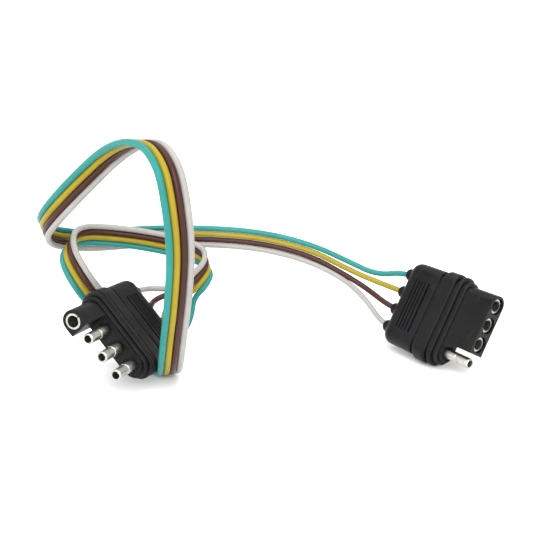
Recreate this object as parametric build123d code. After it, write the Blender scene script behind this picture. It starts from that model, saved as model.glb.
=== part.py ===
from build123d import *
import math
import os

# Four-way flat trailer harness: a moulded connector at each end of four bonded wires.
# Millimetres. +Z is up, X runs from the trailer connector to the vehicle connector.
# Each connector is built on its own axes and then placed: local +X points out of the
# face along the contacts, local Y runs along the row of four, local Z is the thickness.
# The cable stands in loose folds and rests on the floor under the trailer connector.

# ---- contacts ----
PITCH = 9.5                  # between neighbouring contacts
LANES = {"green": 1.5, "yellow": 0.5, "brown": -0.5, "white": -1.5}
GAP = 0.03                   # moulding round a contact or a wire
LAP = 0.5                    # how far joined bars run into each other
CLEAR = 1.0                  # how far a cutting bar runs past the face it opens
PIN_D, PIN_BORE, PIN_TIP = 4.8, 3.4, 13.1
PIN_CHAMFER = 0.35
PIN_BORE_END = 0.5
GROOVE_X, GROOVE_R, GROOVE_OUT = 6.1, 0.55, 0.2
SEAM_LUG = (3.2, 0.7, 1.1)   # the folded seam that stands into a pin's bore
SEAM_LUG_X = PIN_TIP - 2.0
SLEEVE_D, SLEEVE_BORE = 7.0, 5.2
SLEEVE_RIM = 0.2
SLIT, SLIT_LENGTH = 0.5, 14.2
SHOULDER_BACK, SHOULDER_FRONT = -13.0, -11.5
PIN_SHOULDER_D = 6.2
NECK_D, NECK_BACK = 3.0, -22.0
CRIMP_D, CRIMP_BACK = 3.9, -33.5
CONDUCTOR_TIP = NECK_BACK - 1.5    # where the bare conductor ends inside the crimp
SOCKET_DEPTH = 18.0
SOCKET_RECESS = 1.0          # how far the vehicle sleeves sit behind the face

# ---- wires ----
WIRE_D = 2.85
WIRE_PITCH = 2.9             # centre to centre where the four are bonded
CONDUCTOR_D = 1.7
WIRE_END = -35.0             # where the insulation stops inside the moulding
WIRE_AIM = -44.0             # the first corner of a wire's route behind its boot
ARC_SHARE = 0.45             # the arc at a corner, as a share of its shorter run

# ---- moulding, all as local X positions, then width (Y) and thickness (Z) ----
GRIP_BACK, GRIP_FRONT, GRIP_W, GRIP_T = -37.2, -17.4, 43.4, 12.0
GRIP_CORNER, GRIP_BACK_R, GRIP_FRONT_R = 5.6, 4.8, 0.7
CORE_W, CORE_T, CORE_CORNER = 41.0, 10.6, 5.0
# each rib: back, front, width, thickness, corner, round at the back, round at the front
RIBS = (
    (-16.2, -8.2, 45.6, 12.8, 6.2, 1.7, 1.4),
    (-6.7, -4.2, 45.0, 13.4, 6.5, 1.1, 1.1),
    (-2.7, -1.2, 41.6, 11.8, 5.7, 0.0, 0.8),
)
CORE_FRONT = -1.5
NOSE_FACE, NOSE_T, NOSE_RIM = 13.9, 10.0, 0.35
BASE_FACE = 0.0
NOSE_CUT = 9.7               # flat side of the nose, from the middle of the row
BOOT_ROOT, BOOT_BACK, BOOT_D, BOOT_END_D, BOOT_R = -31.0, -40.8, 6.6, 6.0, 1.3
PIN_DISH_D, PIN_DISH_DEEP = 7.8, 0.45      # the shallow dish round a pin
PIN_WELL_D, PIN_WELL_DEEP = 6.2, 1.4       # and the well inside it
MOUTH_D, MOUTH_DEEP = 7.8, 2.4             # the wider mouth in front of a set-back sleeve
PANEL_GROOVES = (-29.6, -27.7, -25.8, -23.9)
PANEL_HALF, PANEL_W, PANEL_DEEP = 12.8, 0.9, 0.5
LAST_GROOVE, LAST_W, LAST_DEEP = -21.5, 1.2, 0.8

# ---- the two connectors: side of the nose, kind and face of each contact, and the place ----
# A place is the middle of the row, then the turn about Z, the nose up and the roll, in degrees.
VEHICLE = {
    "nose": 1,
    "contacts": {
        "green": ("socket", NOSE_FACE - SOCKET_RECESS),
        "yellow": ("socket", NOSE_FACE - SOCKET_RECESS),
        "brown": ("socket", NOSE_FACE - SOCKET_RECESS),
        "white": ("pin", PIN_TIP),
    },
    "place": ((79.1, 2.0, 20.6), -54.7, -3.2, 61.9),
}
TRAILER = {
    "nose": -1,
    "contacts": {
        "green": ("pin", PIN_TIP),
        "yellow": ("pin", PIN_TIP),
        "brown": ("pin", PIN_TIP),
        "white": ("socket", NOSE_FACE),
    },
    "place": ((-78.5, -23.4, 23.6), -108.2, 3.2, -48.4),
}

# ---- the four wires, from the vehicle connector to the trailer connector ----
# Each one leaves its boot alone, joins the flat cable, and leaves it again at the far end.
FAN_VEHICLE = {
    "green": [(46, 46, 33), (32, 50, 39)],
    "yellow": [(42, 46, 31), (30, 49, 36)],
    "brown": [(41, 45, 26), (29, 48, 33)],
    "white": [(41, 43, 20), (30, 47, 30)],
}
# The flat cable: the middle of the row, and the direction across it from white to green.
FLAT_CABLE = [
    # away from the vehicle connector, on edge, along the back
    ((13, 51, 43), (0.27, 0.18, 0.95)),
    ((-9, 52, 49), (0.20, 0.17, 0.96)),
    ((-33, 52, 52), (0.06, 0.16, 0.99)),
    ((-72, 50, 53), (-0.04, 0.25, 0.97)),
    ((-102, 46, 51), (-0.08, 0.34, 0.94)),
    # round the outer left fold and up to the top
    ((-115, 30, 56), (0.02, 0.35, 0.94)),
    ((-116, 12, 64), (-0.43, 0.37, 0.82)),
    ((-108, 0, 73), (-0.61, 0.20, 0.77)),
    ((-90, -9, 90), (-0.72, -0.31, 0.62)),
    ((-72, -20, 105), (-0.72, -0.55, 0.41)),
    ((-56, -39, 110), (-0.75, -0.66, -0.04)),
    # down the front
    ((-48, -47, 102), (-0.83, -0.53, -0.15)),
    ((-45, -50, 88), (-0.91, -0.40, -0.11)),
    ((-44, -47, 68), (-0.90, -0.43, 0.00)),
    ((-46.5, -43, 46), (-0.90, -0.43, 0.02)),
    ((-50, -34, 28), (-0.91, -0.41, 0.02)),
    ((-53, -25, 11.5), (-0.92, -0.38, 0.00)),
    # along the floor, under the grip of the trailer connector
    ((-56, -10, 1.5), (-0.93, -0.37, 0.00)),
    ((-66, 3, 1.5), (-0.93, -0.37, 0.00)),
    # up behind the trailer connector
    ((-78, 12, 11), (-0.81, -0.07, -0.59)),
    ((-91, 12, 28), (-0.78, -0.28, -0.57)),
    ((-99, 8, 42), (-0.85, -0.18, -0.49)),
    # round the inner left fold and back to the right
    ((-107, 16, 54), (-0.76, 0.15, -0.63)),
    ((-106, 36, 57), (-0.06, 0.08, -0.99)),
    ((-89, 42, 55), (-0.15, -0.02, -0.99)),
    ((-66, 44, 51), (-0.24, -0.01, -0.97)),
    # round the right fold and down to the trailer connector
    ((-46, 45, 45), (-0.37, -0.06, -0.93)),
    ((-40, 34, 41), (0.32, 0.47, -0.82)),
    ((-45, 27, 35), (0.75, 0.03, -0.66)),
    ((-51, 28, 29), (0.73, 0.00, -0.68)),
]
FAN_TRAILER = {
    "green": [(-49, 26, 17), (-52, 21, 11)],
    "yellow": [(-59, 28, 24), (-62, 22, 20)],
    "brown": [(-59, 30, 28), (-65, 29, 26), (-68, 24, 25)],
    "white": [(-61, 30, 30), (-68, 31, 30), (-72, 27, 31)],
}


def slab(back, front, width, thick, corner):
    """A rounded bar along X."""
    outline = Plane.YZ.offset(back) * RectangleRounded(width, thick, corner)
    return extrude(outline, front - back)


def softened(bar, back, front):
    """Rounds the rims at the back and front faces of a bar."""
    if front:
        bar = fillet(bar.faces().sort_by(Axis.X)[-1].edges(), front)
    if back:
        bar = fillet(bar.faces().sort_by(Axis.X)[0].edges(), back)
    return bar


def rod(back, front, diameter):
    """A round bar along the X axis."""
    return extrude(Plane.YZ.offset(back) * Circle(diameter / 2), front - back)


def nose(side):
    """The tongue that carries the sockets, on the green side (1) or the white side (-1)."""
    reach = 1.5 * PITCH + NOSE_T / 2
    tongue = extrude(Plane.YZ.offset(RIBS[-1][0]) * SlotOverall(2 * reach, NOSE_T), NOSE_FACE - RIBS[-1][0])
    low, high = (-NOSE_CUT, reach) if side > 0 else (-reach, -NOSE_CUT)
    keep = Pos(NOSE_FACE / 2, (low + high) / 2, 0) * Box(2 * NOSE_FACE, high - low, 2 * NOSE_T)
    tongue = tongue & keep
    rim = tongue.faces().sort_by(Axis.X)[-1].edges()
    return fillet(rim, NOSE_RIM)


def pin_terminal():
    """A one-piece bullet contact: crimp barrel, neck, shoulder and hollow pin."""
    shank = rod(SHOULDER_FRONT, PIN_TIP, PIN_D)
    shank = chamfer(shank.faces().sort_by(Axis.X)[-1].edges(), PIN_CHAMFER)
    body = shank + rod(NECK_BACK, SHOULDER_BACK + LAP, NECK_D)
    body += rod(SHOULDER_BACK, SHOULDER_FRONT, PIN_SHOULDER_D)
    ring = Plane.XY * Pos(GROOVE_X, PIN_D / 2 + GROOVE_OUT) * Circle(GROOVE_R)
    body -= revolve(ring, Axis.X)
    body -= rod(PIN_BORE_END, PIN_TIP + CLEAR, PIN_BORE)
    body += Pos(SEAM_LUG_X, 0, PIN_BORE / 2) * Box(*SEAM_LUG)
    return body + crimp_barrel()


def socket_terminal(face):
    """A one-piece sleeve contact whose slit sleeve ends at local X = face."""
    sleeve = rod(SHOULDER_FRONT, face, SLEEVE_D)
    sleeve = fillet(sleeve.faces().sort_by(Axis.X)[-1].edges(), SLEEVE_RIM)
    body = sleeve + rod(NECK_BACK, SHOULDER_BACK + LAP, NECK_D)
    body += rod(SHOULDER_BACK, SHOULDER_FRONT, SLEEVE_D)
    body -= rod(face - SOCKET_DEPTH, face + CLEAR, SLEEVE_BORE)
    body -= Pos(face - SLIT_LENGTH / 2, 0, SLEEVE_D / 2) * Box(SLIT_LENGTH + GAP, SLIT, SLEEVE_D)
    return body + crimp_barrel()


def crimp_barrel():
    """The barrel behind the neck, open at its back for the conductor."""
    barrel = rod(CRIMP_BACK, NECK_BACK + LAP, CRIMP_D)
    return barrel - rod(CRIMP_BACK - CLEAR, CONDUCTOR_TIP + GAP, CONDUCTOR_D + 2 * GAP)


def envelope(kind, face):
    """The space that one contact, its conductor and its wire take up in the moulding."""
    room = rod(BOOT_BACK - CLEAR, WIRE_END + GAP, WIRE_D + 2 * GAP)
    room += rod(WIRE_END, CRIMP_BACK, CONDUCTOR_D + 2 * GAP)
    room += rod(CRIMP_BACK - GAP, NECK_BACK + LAP + GAP, CRIMP_D + 2 * GAP)
    room += rod(NECK_BACK, SHOULDER_BACK, NECK_D + 2 * GAP)
    if kind == "pin":
        room += rod(SHOULDER_BACK - GAP, SHOULDER_FRONT + GAP, PIN_SHOULDER_D + 2 * GAP)
        room += rod(SHOULDER_FRONT, BASE_FACE + CLEAR, PIN_D + 2 * GAP)
        room += rod(BASE_FACE - PIN_WELL_DEEP, BASE_FACE + CLEAR, PIN_WELL_D)
        room += rod(BASE_FACE - PIN_DISH_DEEP, BASE_FACE + CLEAR, PIN_DISH_D)
    else:
        room += rod(SHOULDER_BACK - GAP, NOSE_FACE + CLEAR, SLEEVE_D + 2 * GAP)
        if face < NOSE_FACE:
            room += rod(face - MOUTH_DEEP, NOSE_FACE + CLEAR, MOUTH_D)
    return room


def boot():
    """The stub that a wire leaves by, rounded at its end."""
    stub = Solid.make_cone(BOOT_D / 2, BOOT_END_D / 2, BOOT_ROOT - BOOT_BACK,
                           Plane((BOOT_ROOT, 0, 0), z_dir=(-1, 0, 0)))
    return fillet(stub.edges().group_by(Axis.X)[0], BOOT_R)


def grip_groove(x, width, deep, face):
    """A bar that cuts one finger groove into the upper (1) or lower (-1) broad face."""
    return Pos(x, 0, face * GRIP_T / 2) * Box(width, 2 * PANEL_HALF, 2 * deep)


def moulding(side, contacts):
    """The overmoulded body, as one solid."""
    body = softened(slab(GRIP_BACK, GRIP_FRONT, GRIP_W, GRIP_T, GRIP_CORNER), GRIP_BACK_R, GRIP_FRONT_R)
    body += slab(GRIP_FRONT - CLEAR, CORE_FRONT, CORE_W, CORE_T, CORE_CORNER)
    for back, front, width, thick, corner, back_round, front_round in RIBS:
        body += softened(slab(back, front, width, thick, corner), back_round, front_round)
    base = Plane.YZ.offset(CORE_FRONT) * SlotOverall(3 * PITCH + NOSE_T, NOSE_T)
    body += extrude(base, BASE_FACE - CORE_FRONT)
    body += nose(side)
    for lane in LANES.values():
        body += Pos(0, lane * PITCH, 0) * boot()
    for face in (1, -1):
        for x in PANEL_GROOVES:
            body -= grip_groove(x, PANEL_W, PANEL_DEEP, face)
        body -= grip_groove(LAST_GROOVE, LAST_W, LAST_DEEP, face)
    for name, (kind, face) in contacts.items():
        body -= Pos(0, LANES[name] * PITCH, 0) * envelope(kind, face)
    return body


def located(place):
    """The location of a connector's own axes."""
    middle, turn, nose_up, roll = place
    return Pos(*middle) * Rot(0, 0, turn) * Rot(0, -nose_up, 0) * Rot(roll, 0, 0)


def along_boot(place, lane, x):
    """The point at local x on the axis of one contact."""
    return (located(place) * Pos(x, lane * PITCH, 0)).position


def route(colour):
    """The corners of one wire's route, from boot to boot."""
    lane = LANES[colour]
    flat = [Vector(*middle) + Vector(*across).normalized() * (lane * WIRE_PITCH)
            for middle, across in FLAT_CABLE]
    start, end = VEHICLE["place"], TRAILER["place"]
    return ([along_boot(start, lane, WIRE_END), along_boot(start, lane, WIRE_AIM)]
            + [Vector(*point) for point in FAN_VEHICLE[colour]]
            + flat
            + [Vector(*point) for point in FAN_TRAILER[colour]]
            + [along_boot(end, lane, WIRE_AIM), along_boot(end, lane, WIRE_END)])


def corner_radii(corners):
    """As large an arc at each corner as its two runs allow."""
    radii = []
    for before, corner, after in zip(corners, corners[1:], corners[2:]):
        turn = math.radians((corner - before).get_angle(after - corner))
        shorter = min((corner - before).length, (after - corner).length)
        radii.append(ARC_SHARE * shorter / math.tan(turn / 2))
    return radii


def wire(colour):
    """One insulated wire as a round tube along its route."""
    corners = route(colour)
    radii = corner_radii(corners)
    line = FilletPolyline(*corners, radius=radii)
    start = Plane(origin=line @ 0, z_dir=line % 0)
    tube = sweep(start * Circle(WIRE_D / 2), path=line)
    solid_share = tube.volume / (math.pi * WIRE_D ** 2 / 4 * line.length)
    print(f"{colour} wire: length {line.length:.1f}, volume / (section x length) {solid_share:.4f}")
    print("  radii", " ".join(f"{radius:.0f}" for radius in radii))
    return tube


def connector(name, body_spec):
    """The pieces of one placed connector, by node name."""
    contacts = body_spec["contacts"]
    pieces = {f"{name}_connector_body": moulding(body_spec["nose"], contacts)}
    for colour, (kind, face) in contacts.items():
        lane = Pos(0, LANES[colour] * PITCH, 0)
        terminal = pin_terminal() if kind == "pin" else socket_terminal(face)
        pieces[f"{name}_{colour}_{kind}"] = lane * terminal
        pieces[f"{name}_{colour}_conductor_end"] = lane * rod(WIRE_END, CONDUCTOR_TIP, CONDUCTOR_D)
    place = located(body_spec["place"])
    return {node: place * piece for node, piece in pieces.items()}


def main():
    parts = connector("vehicle", VEHICLE) | connector("trailer", TRAILER)
    for colour in LANES:
        parts[f"{colour}_wire"] = wire(colour)
    os.makedirs("parts", exist_ok=True)
    for node, piece in parts.items():
        export_step(piece, f"parts/{node}.step")


if __name__ == "__main__":
    main()
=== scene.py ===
import math

import bpy
from mathutils import Matrix, Vector


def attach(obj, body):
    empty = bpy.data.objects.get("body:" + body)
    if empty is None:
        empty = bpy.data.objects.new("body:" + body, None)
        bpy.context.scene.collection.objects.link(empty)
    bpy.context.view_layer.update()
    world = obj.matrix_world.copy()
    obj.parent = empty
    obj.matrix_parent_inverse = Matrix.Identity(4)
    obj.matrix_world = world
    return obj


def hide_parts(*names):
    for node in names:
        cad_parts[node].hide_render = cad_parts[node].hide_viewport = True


# A flat trailer light cable with a moulded connector at each end, in metres, in the
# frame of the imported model: +Z up, +X from the trailer connector to the vehicle connector.

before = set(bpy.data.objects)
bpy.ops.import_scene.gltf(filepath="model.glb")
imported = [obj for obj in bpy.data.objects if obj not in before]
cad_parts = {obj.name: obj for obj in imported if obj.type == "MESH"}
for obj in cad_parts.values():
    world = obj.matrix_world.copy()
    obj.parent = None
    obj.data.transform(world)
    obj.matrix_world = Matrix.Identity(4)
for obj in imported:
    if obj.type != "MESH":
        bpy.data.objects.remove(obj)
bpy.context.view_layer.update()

MM = 0.001

# ---- the connectors' own axes: +X out of the face, Y along the row of contacts ----
PITCH = 9.5
LANES = {"green": 1.5, "yellow": 0.5, "brown": -0.5, "white": -1.5}
WIRE_END, WIRE_AIM, BOOT_BACK = -35.0, -44.0, -40.8
VEHICLE_PLACE = ((79.1, 2.0, 20.6), -54.7, -3.2, 61.9)
TRAILER_PLACE = ((-78.5, -23.4, 23.6), -108.2, 3.2, -48.4)

# ---- the wires ----
WIRE_D = 2.85
WIRE_PITCH = 2.9
FAN_VEHICLE = {
    "green": [(46, 46, 33), (32, 50, 39)],
    "yellow": [(42, 46, 31), (30, 49, 36)],
    "brown": [(41, 45, 26), (29, 48, 33)],
    "white": [(41, 43, 20), (30, 47, 30)],
}
# The flat cable: the middle of the row, and the direction across it from white to green.
FLAT_CABLE = [
    # away from the vehicle connector, on edge, along the back
    ((13, 51, 43), (0.27, 0.18, 0.95)),
    ((-9, 52, 49), (0.20, 0.17, 0.96)),
    ((-33, 52, 52), (0.06, 0.16, 0.99)),
    ((-72, 50, 53), (-0.04, 0.25, 0.97)),
    ((-102, 46, 51), (-0.08, 0.34, 0.94)),
    # round the outer left fold and up to the top
    ((-115, 30, 56), (0.02, 0.35, 0.94)),
    ((-116, 12, 64), (-0.43, 0.37, 0.82)),
    ((-108, 0, 73), (-0.61, 0.20, 0.77)),
    ((-90, -9, 90), (-0.72, -0.31, 0.62)),
    ((-72, -20, 105), (-0.72, -0.55, 0.41)),
    ((-56, -39, 110), (-0.75, -0.66, -0.04)),
    # down the front
    ((-48, -47, 102), (-0.83, -0.53, -0.15)),
    ((-45, -50, 88), (-0.91, -0.40, -0.11)),
    ((-44, -47, 68), (-0.90, -0.43, 0.00)),
    ((-46.5, -43, 46), (-0.90, -0.43, 0.02)),
    ((-50, -34, 28), (-0.91, -0.41, 0.02)),
    ((-53, -25, 11.5), (-0.92, -0.38, 0.00)),
    # along the floor, under the grip of the trailer connector
    ((-56, -10, 1.5), (-0.93, -0.37, 0.00)),
    ((-66, 3, 1.5), (-0.93, -0.37, 0.00)),
    # up behind the trailer connector
    ((-78, 12, 11), (-0.81, -0.07, -0.59)),
    ((-91, 12, 28), (-0.78, -0.28, -0.57)),
    ((-99, 8, 42), (-0.85, -0.18, -0.49)),
    # round the inner left fold and back to the right
    ((-107, 16, 54), (-0.76, 0.15, -0.63)),
    ((-106, 36, 57), (-0.06, 0.08, -0.99)),
    ((-89, 42, 55), (-0.15, -0.02, -0.99)),
    ((-66, 44, 51), (-0.24, -0.01, -0.97)),
    # round the right fold and down to the trailer connector
    ((-46, 45, 45), (-0.37, -0.06, -0.93)),
    ((-40, 34, 41), (0.32, 0.47, -0.82)),
    ((-45, 27, 35), (0.75, 0.03, -0.66)),
    ((-51, 28, 29), (0.73, 0.00, -0.68)),
]
FAN_TRAILER = {
    "green": [(-49, 26, 17), (-52, 21, 11)],
    "yellow": [(-59, 28, 24), (-62, 22, 20)],
    "brown": [(-59, 30, 28), (-65, 29, 26), (-68, 24, 25)],
    "white": [(-61, 30, 30), (-68, 31, 30), (-72, 27, 31)],
}

# ---- camera and light ----
CAMERA_AT = Vector((-11.4, -310.9, 133.1)) * MM
CAMERA_DOWN = 15.0           # degrees below the horizontal
CAMERA_LENS, CAMERA_SENSOR = 47.88, 36.0
CAMERA_NEAR = 0.01
LIGHTS_AIM = (0.0, 0.0, 0.04)
# each soft light: where it hangs, its diameter and its power
SOFT_LIGHTS = {
    "overhead": ((0.0, 0.15, 0.9), 0.9, 3),
    "front": ((0.15, -0.95, 0.5), 0.6, 6),
    "left": ((-0.9, -0.2, 0.35), 0.4, 2),
}
CEILING_POWER, CEILING_SPREAD, CEILING_LEAN = 2.3, 90.0, 20.0
# the room: sine of the elevation where its fade starts and ends, and its strength at each
ROOM_FADE = (0.15, 0.75, 1.40, 0.65)
FLOOR_REACH = 12.0
FLOOR_DROP = 0.0002          # keeps the floor just clear of what stands on it

# ---- shader helpers ----
NOISE_SPAN = (0.3, 0.7)              # where nearly all of a noise lies
EDGE_MATCH = (0.995, 0.90)           # cosine between true and rounded normal: no wear, full wear
MIX_COLOUR_INPUTS, MIX_COLOUR_OUTPUT = (0, 6, 7), 2    # a Mix node's sockets when it mixes colours

# ---- colours, as linear light ----
PAPER_DARK, PAPER_LIGHT = (0.93, 0.93, 0.93), (0.95, 0.95, 0.95)
MOULDING = (0.0030, 0.0030, 0.0035)
MOULDING_RUBBED, MOULDING_SCUFF = (0.015, 0.015, 0.016), (0.012, 0.012, 0.013)
PLATING_TARNISH, PLATING_MID = (0.33, 0.315, 0.27), (0.46, 0.45, 0.41)
PLATING_CLEAN, PLATING_RUBBED = (0.54, 0.53, 0.50), (0.56, 0.55, 0.52)
COPPER_DULL, COPPER_CLEAN = (0.42, 0.16, 0.08), (0.78, 0.38, 0.22)
INSULATION = {
    "green": (0.014, 0.190, 0.170),
    "yellow": (0.270, 0.205, 0.009),
    "brown": (0.042, 0.011, 0.007),
    "white": (0.300, 0.288, 0.270),
}


def located(place):
    """The matrix from a connector's own axes, in millimetres, to metres."""
    middle, turn, nose_up, roll = place
    return (Matrix.Translation(Vector(middle) * MM)
            @ Matrix.Rotation(math.radians(turn), 4, "Z")
            @ Matrix.Rotation(math.radians(-nose_up), 4, "Y")
            @ Matrix.Rotation(math.radians(roll), 4, "X")
            @ Matrix.Scale(MM, 4))


def along_boot(place, colour, x):
    """The point at local x on the axis of one contact."""
    return located(place) @ Vector((x, LANES[colour] * PITCH, 0))


def route(colour):
    """The control points of one wire, from boot to boot."""
    lane = LANES[colour]
    flat = [(Vector(middle) + Vector(across).normalized() * (lane * WIRE_PITCH)) * MM
            for middle, across in FLAT_CABLE]
    start = [along_boot(VEHICLE_PLACE, colour, x) for x in (WIRE_END, WIRE_AIM)]
    end = [along_boot(TRAILER_PLACE, colour, x) for x in (WIRE_AIM, WIRE_END)]
    fan_out = [Vector(point) * MM for point in FAN_VEHICLE[colour]]
    fan_in = [Vector(point) * MM for point in FAN_TRAILER[colour]]
    return start + fan_out + flat + fan_in + end


def make_wire(colour, look):
    """One insulated wire, as a round NURBS curve."""
    curve = bpy.data.curves.new(f"{colour}_insulation", "CURVE")
    curve.dimensions = "3D"
    curve.bevel_depth = WIRE_D / 2 * MM
    curve.bevel_resolution = 8
    curve.resolution_u = 24
    curve.use_fill_caps = True
    points = route(colour)
    spline = curve.splines.new("NURBS")
    spline.points.add(len(points) - 1)
    for control, point in zip(spline.points, points):
        control.co = (*point, 1.0)
    spline.order_u = 3
    spline.use_endpoint_u = True
    piece = bpy.data.objects.new(f"{colour}_insulated_wire", curve)
    bpy.context.scene.collection.objects.link(piece)
    curve.materials.append(look)
    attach(piece, "root")
    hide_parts(f"{colour}_wire")


class Look:
    """A small builder for one procedural material."""

    def __init__(self, name):
        self.material = bpy.data.materials.new(name)
        self.material.use_nodes = True
        self.tree = self.material.node_tree
        self.shader = self.tree.nodes["Principled BSDF"]
        self.place = self.add("ShaderNodeTexCoord").outputs["Object"]
        self.bump_chain = None

    def add(self, kind, inputs=(), **settings):
        """A new node; inputs maps the names of its sockets to plain values."""
        node = self.tree.nodes.new(kind)
        for key, value in settings.items():
            setattr(node, key, value)
        for socket, value in dict(inputs).items():
            node.inputs[socket].default_value = value
        return node

    def link(self, source, target):
        self.tree.links.new(source, target)

    def set(self, **values):
        """Plain values on the shader, with _ for the spaces in a socket's name."""
        for key, value in values.items():
            self.shader.inputs[key.replace("_", " ")].default_value = value

    def noise(self, scale, detail=3.0, rough=0.5, stretch=None):
        """A 0 to 1 noise in the object's own coordinates, in metres."""
        node = self.add("ShaderNodeTexNoise", {"Scale": scale, "Detail": detail, "Roughness": rough})
        place = self.place
        if stretch is not None:
            mapping = self.add("ShaderNodeMapping", {"Scale": stretch})
            self.link(place, mapping.inputs["Vector"])
            place = mapping.outputs["Vector"]
        self.link(place, node.inputs["Vector"])
        return node.outputs["Fac"]

    def ramp(self, source, stops):
        """A colour from a 0 to 1 source, by (position, colour) stops."""
        node = self.add("ShaderNodeValToRGB")
        elements = node.color_ramp.elements
        while len(elements) < len(stops):
            elements.new(0.5)
        for element, (position, colour) in zip(elements, stops):
            element.position = position
            element.color = (*colour, 1.0)
        self.link(source, node.inputs["Fac"])
        return node.outputs["Color"]

    def remap(self, source, start, end, low=0.0, high=1.0):
        """Goes from low to high while the source goes from start to end, and stays there."""
        node = self.add("ShaderNodeMapRange",
                        {"From Min": start, "From Max": end, "To Min": low, "To Max": high})
        self.link(source, node.inputs["Value"])
        return node.outputs["Result"]

    def spread(self, source, low, high):
        """A value between low and high from a noise."""
        return self.remap(source, *NOISE_SPAN, low, high)

    def mix(self, factor, colour, other):
        """Goes from a linked colour to a plain one by a 0 to 1 factor."""
        node = self.add("ShaderNodeMix", data_type="RGBA")
        factor_in, colour_in, other_in = (node.inputs[index] for index in MIX_COLOUR_INPUTS)
        self.link(factor, factor_in)
        self.link(colour, colour_in)
        other_in.default_value = (*other, 1.0)
        return node.outputs[MIX_COLOUR_OUTPUT]

    def worn_edges(self, radius, breakup):
        """Up to 1 along the edges of a piece, broken up by a noise."""
        rounded = self.add("ShaderNodeBevel", {"Radius": radius}, samples=4)
        flat = self.add("ShaderNodeNewGeometry")
        match = self.add("ShaderNodeVectorMath", operation="DOT_PRODUCT")
        self.link(rounded.outputs["Normal"], match.inputs[0])
        self.link(flat.outputs["Normal"], match.inputs[1])
        worn = self.add("ShaderNodeMath", operation="MULTIPLY")
        self.link(self.remap(match.outputs["Value"], *EDGE_MATCH), worn.inputs[0])
        self.link(breakup, worn.inputs[1])
        return worn.outputs["Value"]

    def streaks(self, scale, start, full, stretch):
        """1 in the few thin marks where a stretched noise peaks."""
        return self.remap(self.noise(scale, 5, 0.6, stretch), start, full)

    def bump(self, source, depth, strength):
        """Adds relief of a depth in metres on top of the relief that is there."""
        node = self.add("ShaderNodeBump", {"Distance": depth, "Strength": strength})
        self.link(source, node.inputs["Height"])
        if self.bump_chain is not None:
            self.link(self.bump_chain, node.inputs["Normal"])
        self.bump_chain = node.outputs["Normal"]
        self.link(self.bump_chain, self.shader.inputs["Normal"])


def shade(colour, factor):
    """A lighter or darker version of a colour."""
    return tuple(min(1.0, channel * factor) for channel in colour)


def moulded_look():
    """Black moulded PVC: a fine grain, a faint bloom, rubbed edges and a few scuffs."""
    look = Look("black_moulded_pvc")
    bloomed = look.ramp(look.noise(60, 4, 0.6), [(0.35, MOULDING), (0.7, shade(MOULDING, 1.9))])
    rubbed = look.worn_edges(0.0005, look.noise(240, 4, 0.6))
    coloured = look.mix(rubbed, bloomed, MOULDING_RUBBED)
    scuffs = look.streaks(95, 0.63, 0.69, (1.0, 6.0, 2.0))
    look.link(look.mix(scuffs, coloured, MOULDING_SCUFF), look.shader.inputs["Base Color"])
    look.link(look.spread(look.noise(180, 3), 0.31, 0.47), look.shader.inputs["Roughness"])
    look.set(Specular_IOR_Level=0.15)
    look.bump(look.noise(2600, 2), 0.00004, 0.6)
    look.bump(look.noise(350, 2), 0.00008, 0.35)
    return look.material


def plated_look():
    """Bright plated brass: satin, with rolled marks, small dents and a yellowish tarnish."""
    look = Look("plated_contact_metal")
    look.set(Metallic=1.0)
    tarnish = look.noise(420, 5, 0.65)
    plating = look.ramp(tarnish, [(0.3, PLATING_TARNISH), (0.5, PLATING_MID), (0.75, PLATING_CLEAN)])
    rubbed = look.worn_edges(0.0002, look.noise(900, 3))
    look.link(look.mix(rubbed, plating, PLATING_RUBBED), look.shader.inputs["Base Color"])
    look.link(look.spread(look.noise(700, 4), 0.27, 0.44), look.shader.inputs["Roughness"])
    look.bump(look.noise(1100, 3), 0.00008, 0.5)
    look.bump(look.noise(260, 2), 0.00015, 0.4)
    return look.material


def copper_look():
    """Bare copper strands, dulled."""
    look = Look("bare_copper")
    look.set(Metallic=1.0)
    copper_tone = look.ramp(look.noise(900, 4), [(0.3, COPPER_DULL), (0.7, COPPER_CLEAN)])
    look.link(copper_tone, look.shader.inputs["Base Color"])
    look.link(look.spread(look.noise(600), 0.3, 0.5), look.shader.inputs["Roughness"])
    return look.material


def insulation_look(name, colour):
    """Extruded PVC: nearly even colour, a soft gloss and slight drawing ripples."""
    look = Look(name)
    stops = [(0.3, shade(colour, 0.93)), (0.7, shade(colour, 1.05))]
    look.link(look.ramp(look.noise(90, 3, 0.55), stops), look.shader.inputs["Base Color"])
    look.link(look.spread(look.noise(260, 3), 0.30, 0.42), look.shader.inputs["Roughness"])
    look.set(Specular_IOR_Level=0.24)
    look.bump(look.noise(220, 2), 0.00012, 0.3)
    look.bump(look.noise(2400, 2), 0.00002, 0.4)
    return look.material


def dress(name, look):
    """Gives a carried-over CAD node its finished material."""
    slots = bpy.data.objects[name].data.materials
    if not slots:
        slots.append(look)
    for index in range(len(slots)):
        slots[index] = look


def make_stage():
    """A plain pale paper floor."""
    floor = bpy.data.meshes.new("floor")
    corners = [(x * FLOOR_REACH, y * FLOOR_REACH, 0) for x, y in ((-1, -1), (1, -1), (1, 1), (-1, 1))]
    floor.from_pydata(corners, [], [(0, 1, 2, 3)])
    plane = bpy.data.objects.new("studio_floor", floor)
    plane.location.z = -FLOOR_DROP
    bpy.context.scene.collection.objects.link(plane)
    look = Look("studio_paper")
    paper = look.ramp(look.noise(3, 2), [(0.3, PAPER_DARK), (0.7, PAPER_LIGHT)])
    look.link(paper, look.shader.inputs["Base Color"])
    look.set(Roughness=0.9)
    floor.materials.append(look.material)


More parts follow.
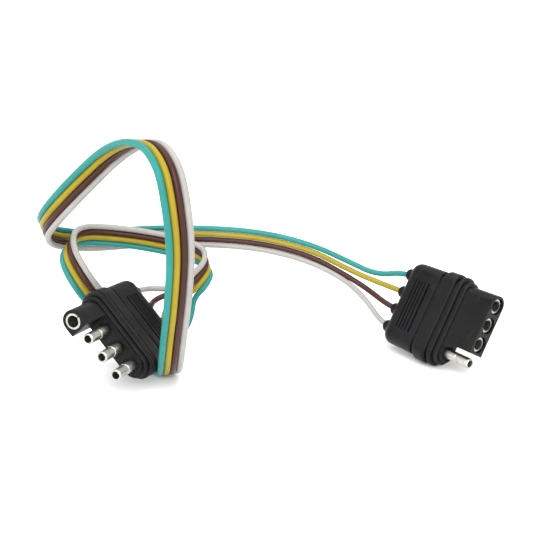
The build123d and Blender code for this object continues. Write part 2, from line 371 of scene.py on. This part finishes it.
def soft_light(name, place, size, power):
    """A round lamp aimed at the harness."""
    lamp = bpy.data.lights.new(name, "AREA")
    lamp.shape = "DISK"
    lamp.size = size
    lamp.energy = power
    piece = bpy.data.objects.new(name, lamp)
    piece.location = place
    piece.rotation_euler = (Vector(LIGHTS_AIM) - Vector(place)).to_track_quat("-Z", "Y").to_euler()
    bpy.context.scene.collection.objects.link(piece)


def ceiling_light():
    """Wide, even light from above, the same everywhere on the floor."""
    lamp = bpy.data.lights.new("diffuse_ceiling", "SUN")
    lamp.energy = CEILING_POWER
    lamp.angle = math.radians(CEILING_SPREAD)
    piece = bpy.data.objects.new("diffuse_ceiling", lamp)
    piece.rotation_euler = (math.radians(CEILING_LEAN), 0, 0)
    bpy.context.scene.collection.objects.link(piece)


def studio_world():
    """A white room: brightest near the horizon, dimmer towards the ceiling."""
    world = bpy.data.worlds.new("studio")
    world.use_nodes = True
    tree = world.node_tree
    coordinates = tree.nodes.new("ShaderNodeTexCoord")
    split = tree.nodes.new("ShaderNodeSeparateXYZ")
    height = tree.nodes.new("ShaderNodeMapRange")
    background = tree.nodes["Background"]
    background.inputs["Color"].default_value = (1, 1, 1, 1)
    height.interpolation_type = "SMOOTHSTEP"
    for socket, value in zip(("From Min", "From Max", "To Min", "To Max"), ROOM_FADE):
        height.inputs[socket].default_value = value
    tree.links.new(coordinates.outputs["Generated"], split.inputs["Vector"])
    tree.links.new(split.outputs["Z"], height.inputs["Value"])
    tree.links.new(height.outputs["Result"], background.inputs["Strength"])
    bpy.context.scene.world = world


def make_lights():
    for name, (place, size, power) in SOFT_LIGHTS.items():
        soft_light(name, place, size, power)
    ceiling_light()
    studio_world()


def make_camera():
    data = bpy.data.cameras.new("camera")
    data.lens = CAMERA_LENS
    data.sensor_width = CAMERA_SENSOR
    data.clip_start = CAMERA_NEAR
    camera = bpy.data.objects.new("camera", data)
    camera.location = CAMERA_AT
    camera.rotation_euler = (math.radians(90 - CAMERA_DOWN), 0, 0)
    bpy.context.scene.collection.objects.link(camera)
    bpy.context.scene.camera = camera
    bpy.context.scene.view_settings.view_transform = "Standard"


black = moulded_look()
plated = plated_look()
copper = copper_look()
for node_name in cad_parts:
    if node_name.endswith("_body"):
        dress(node_name, black)
    elif node_name.endswith(("_pin", "_socket")):
        dress(node_name, plated)
    elif node_name.endswith("_conductor_end"):
        dress(node_name, copper)
for wire_colour, tint in INSULATION.items():
    make_wire(wire_colour, insulation_look(f"{wire_colour}_pvc_insulation", tint))
make_stage()
make_lights()
make_camera()
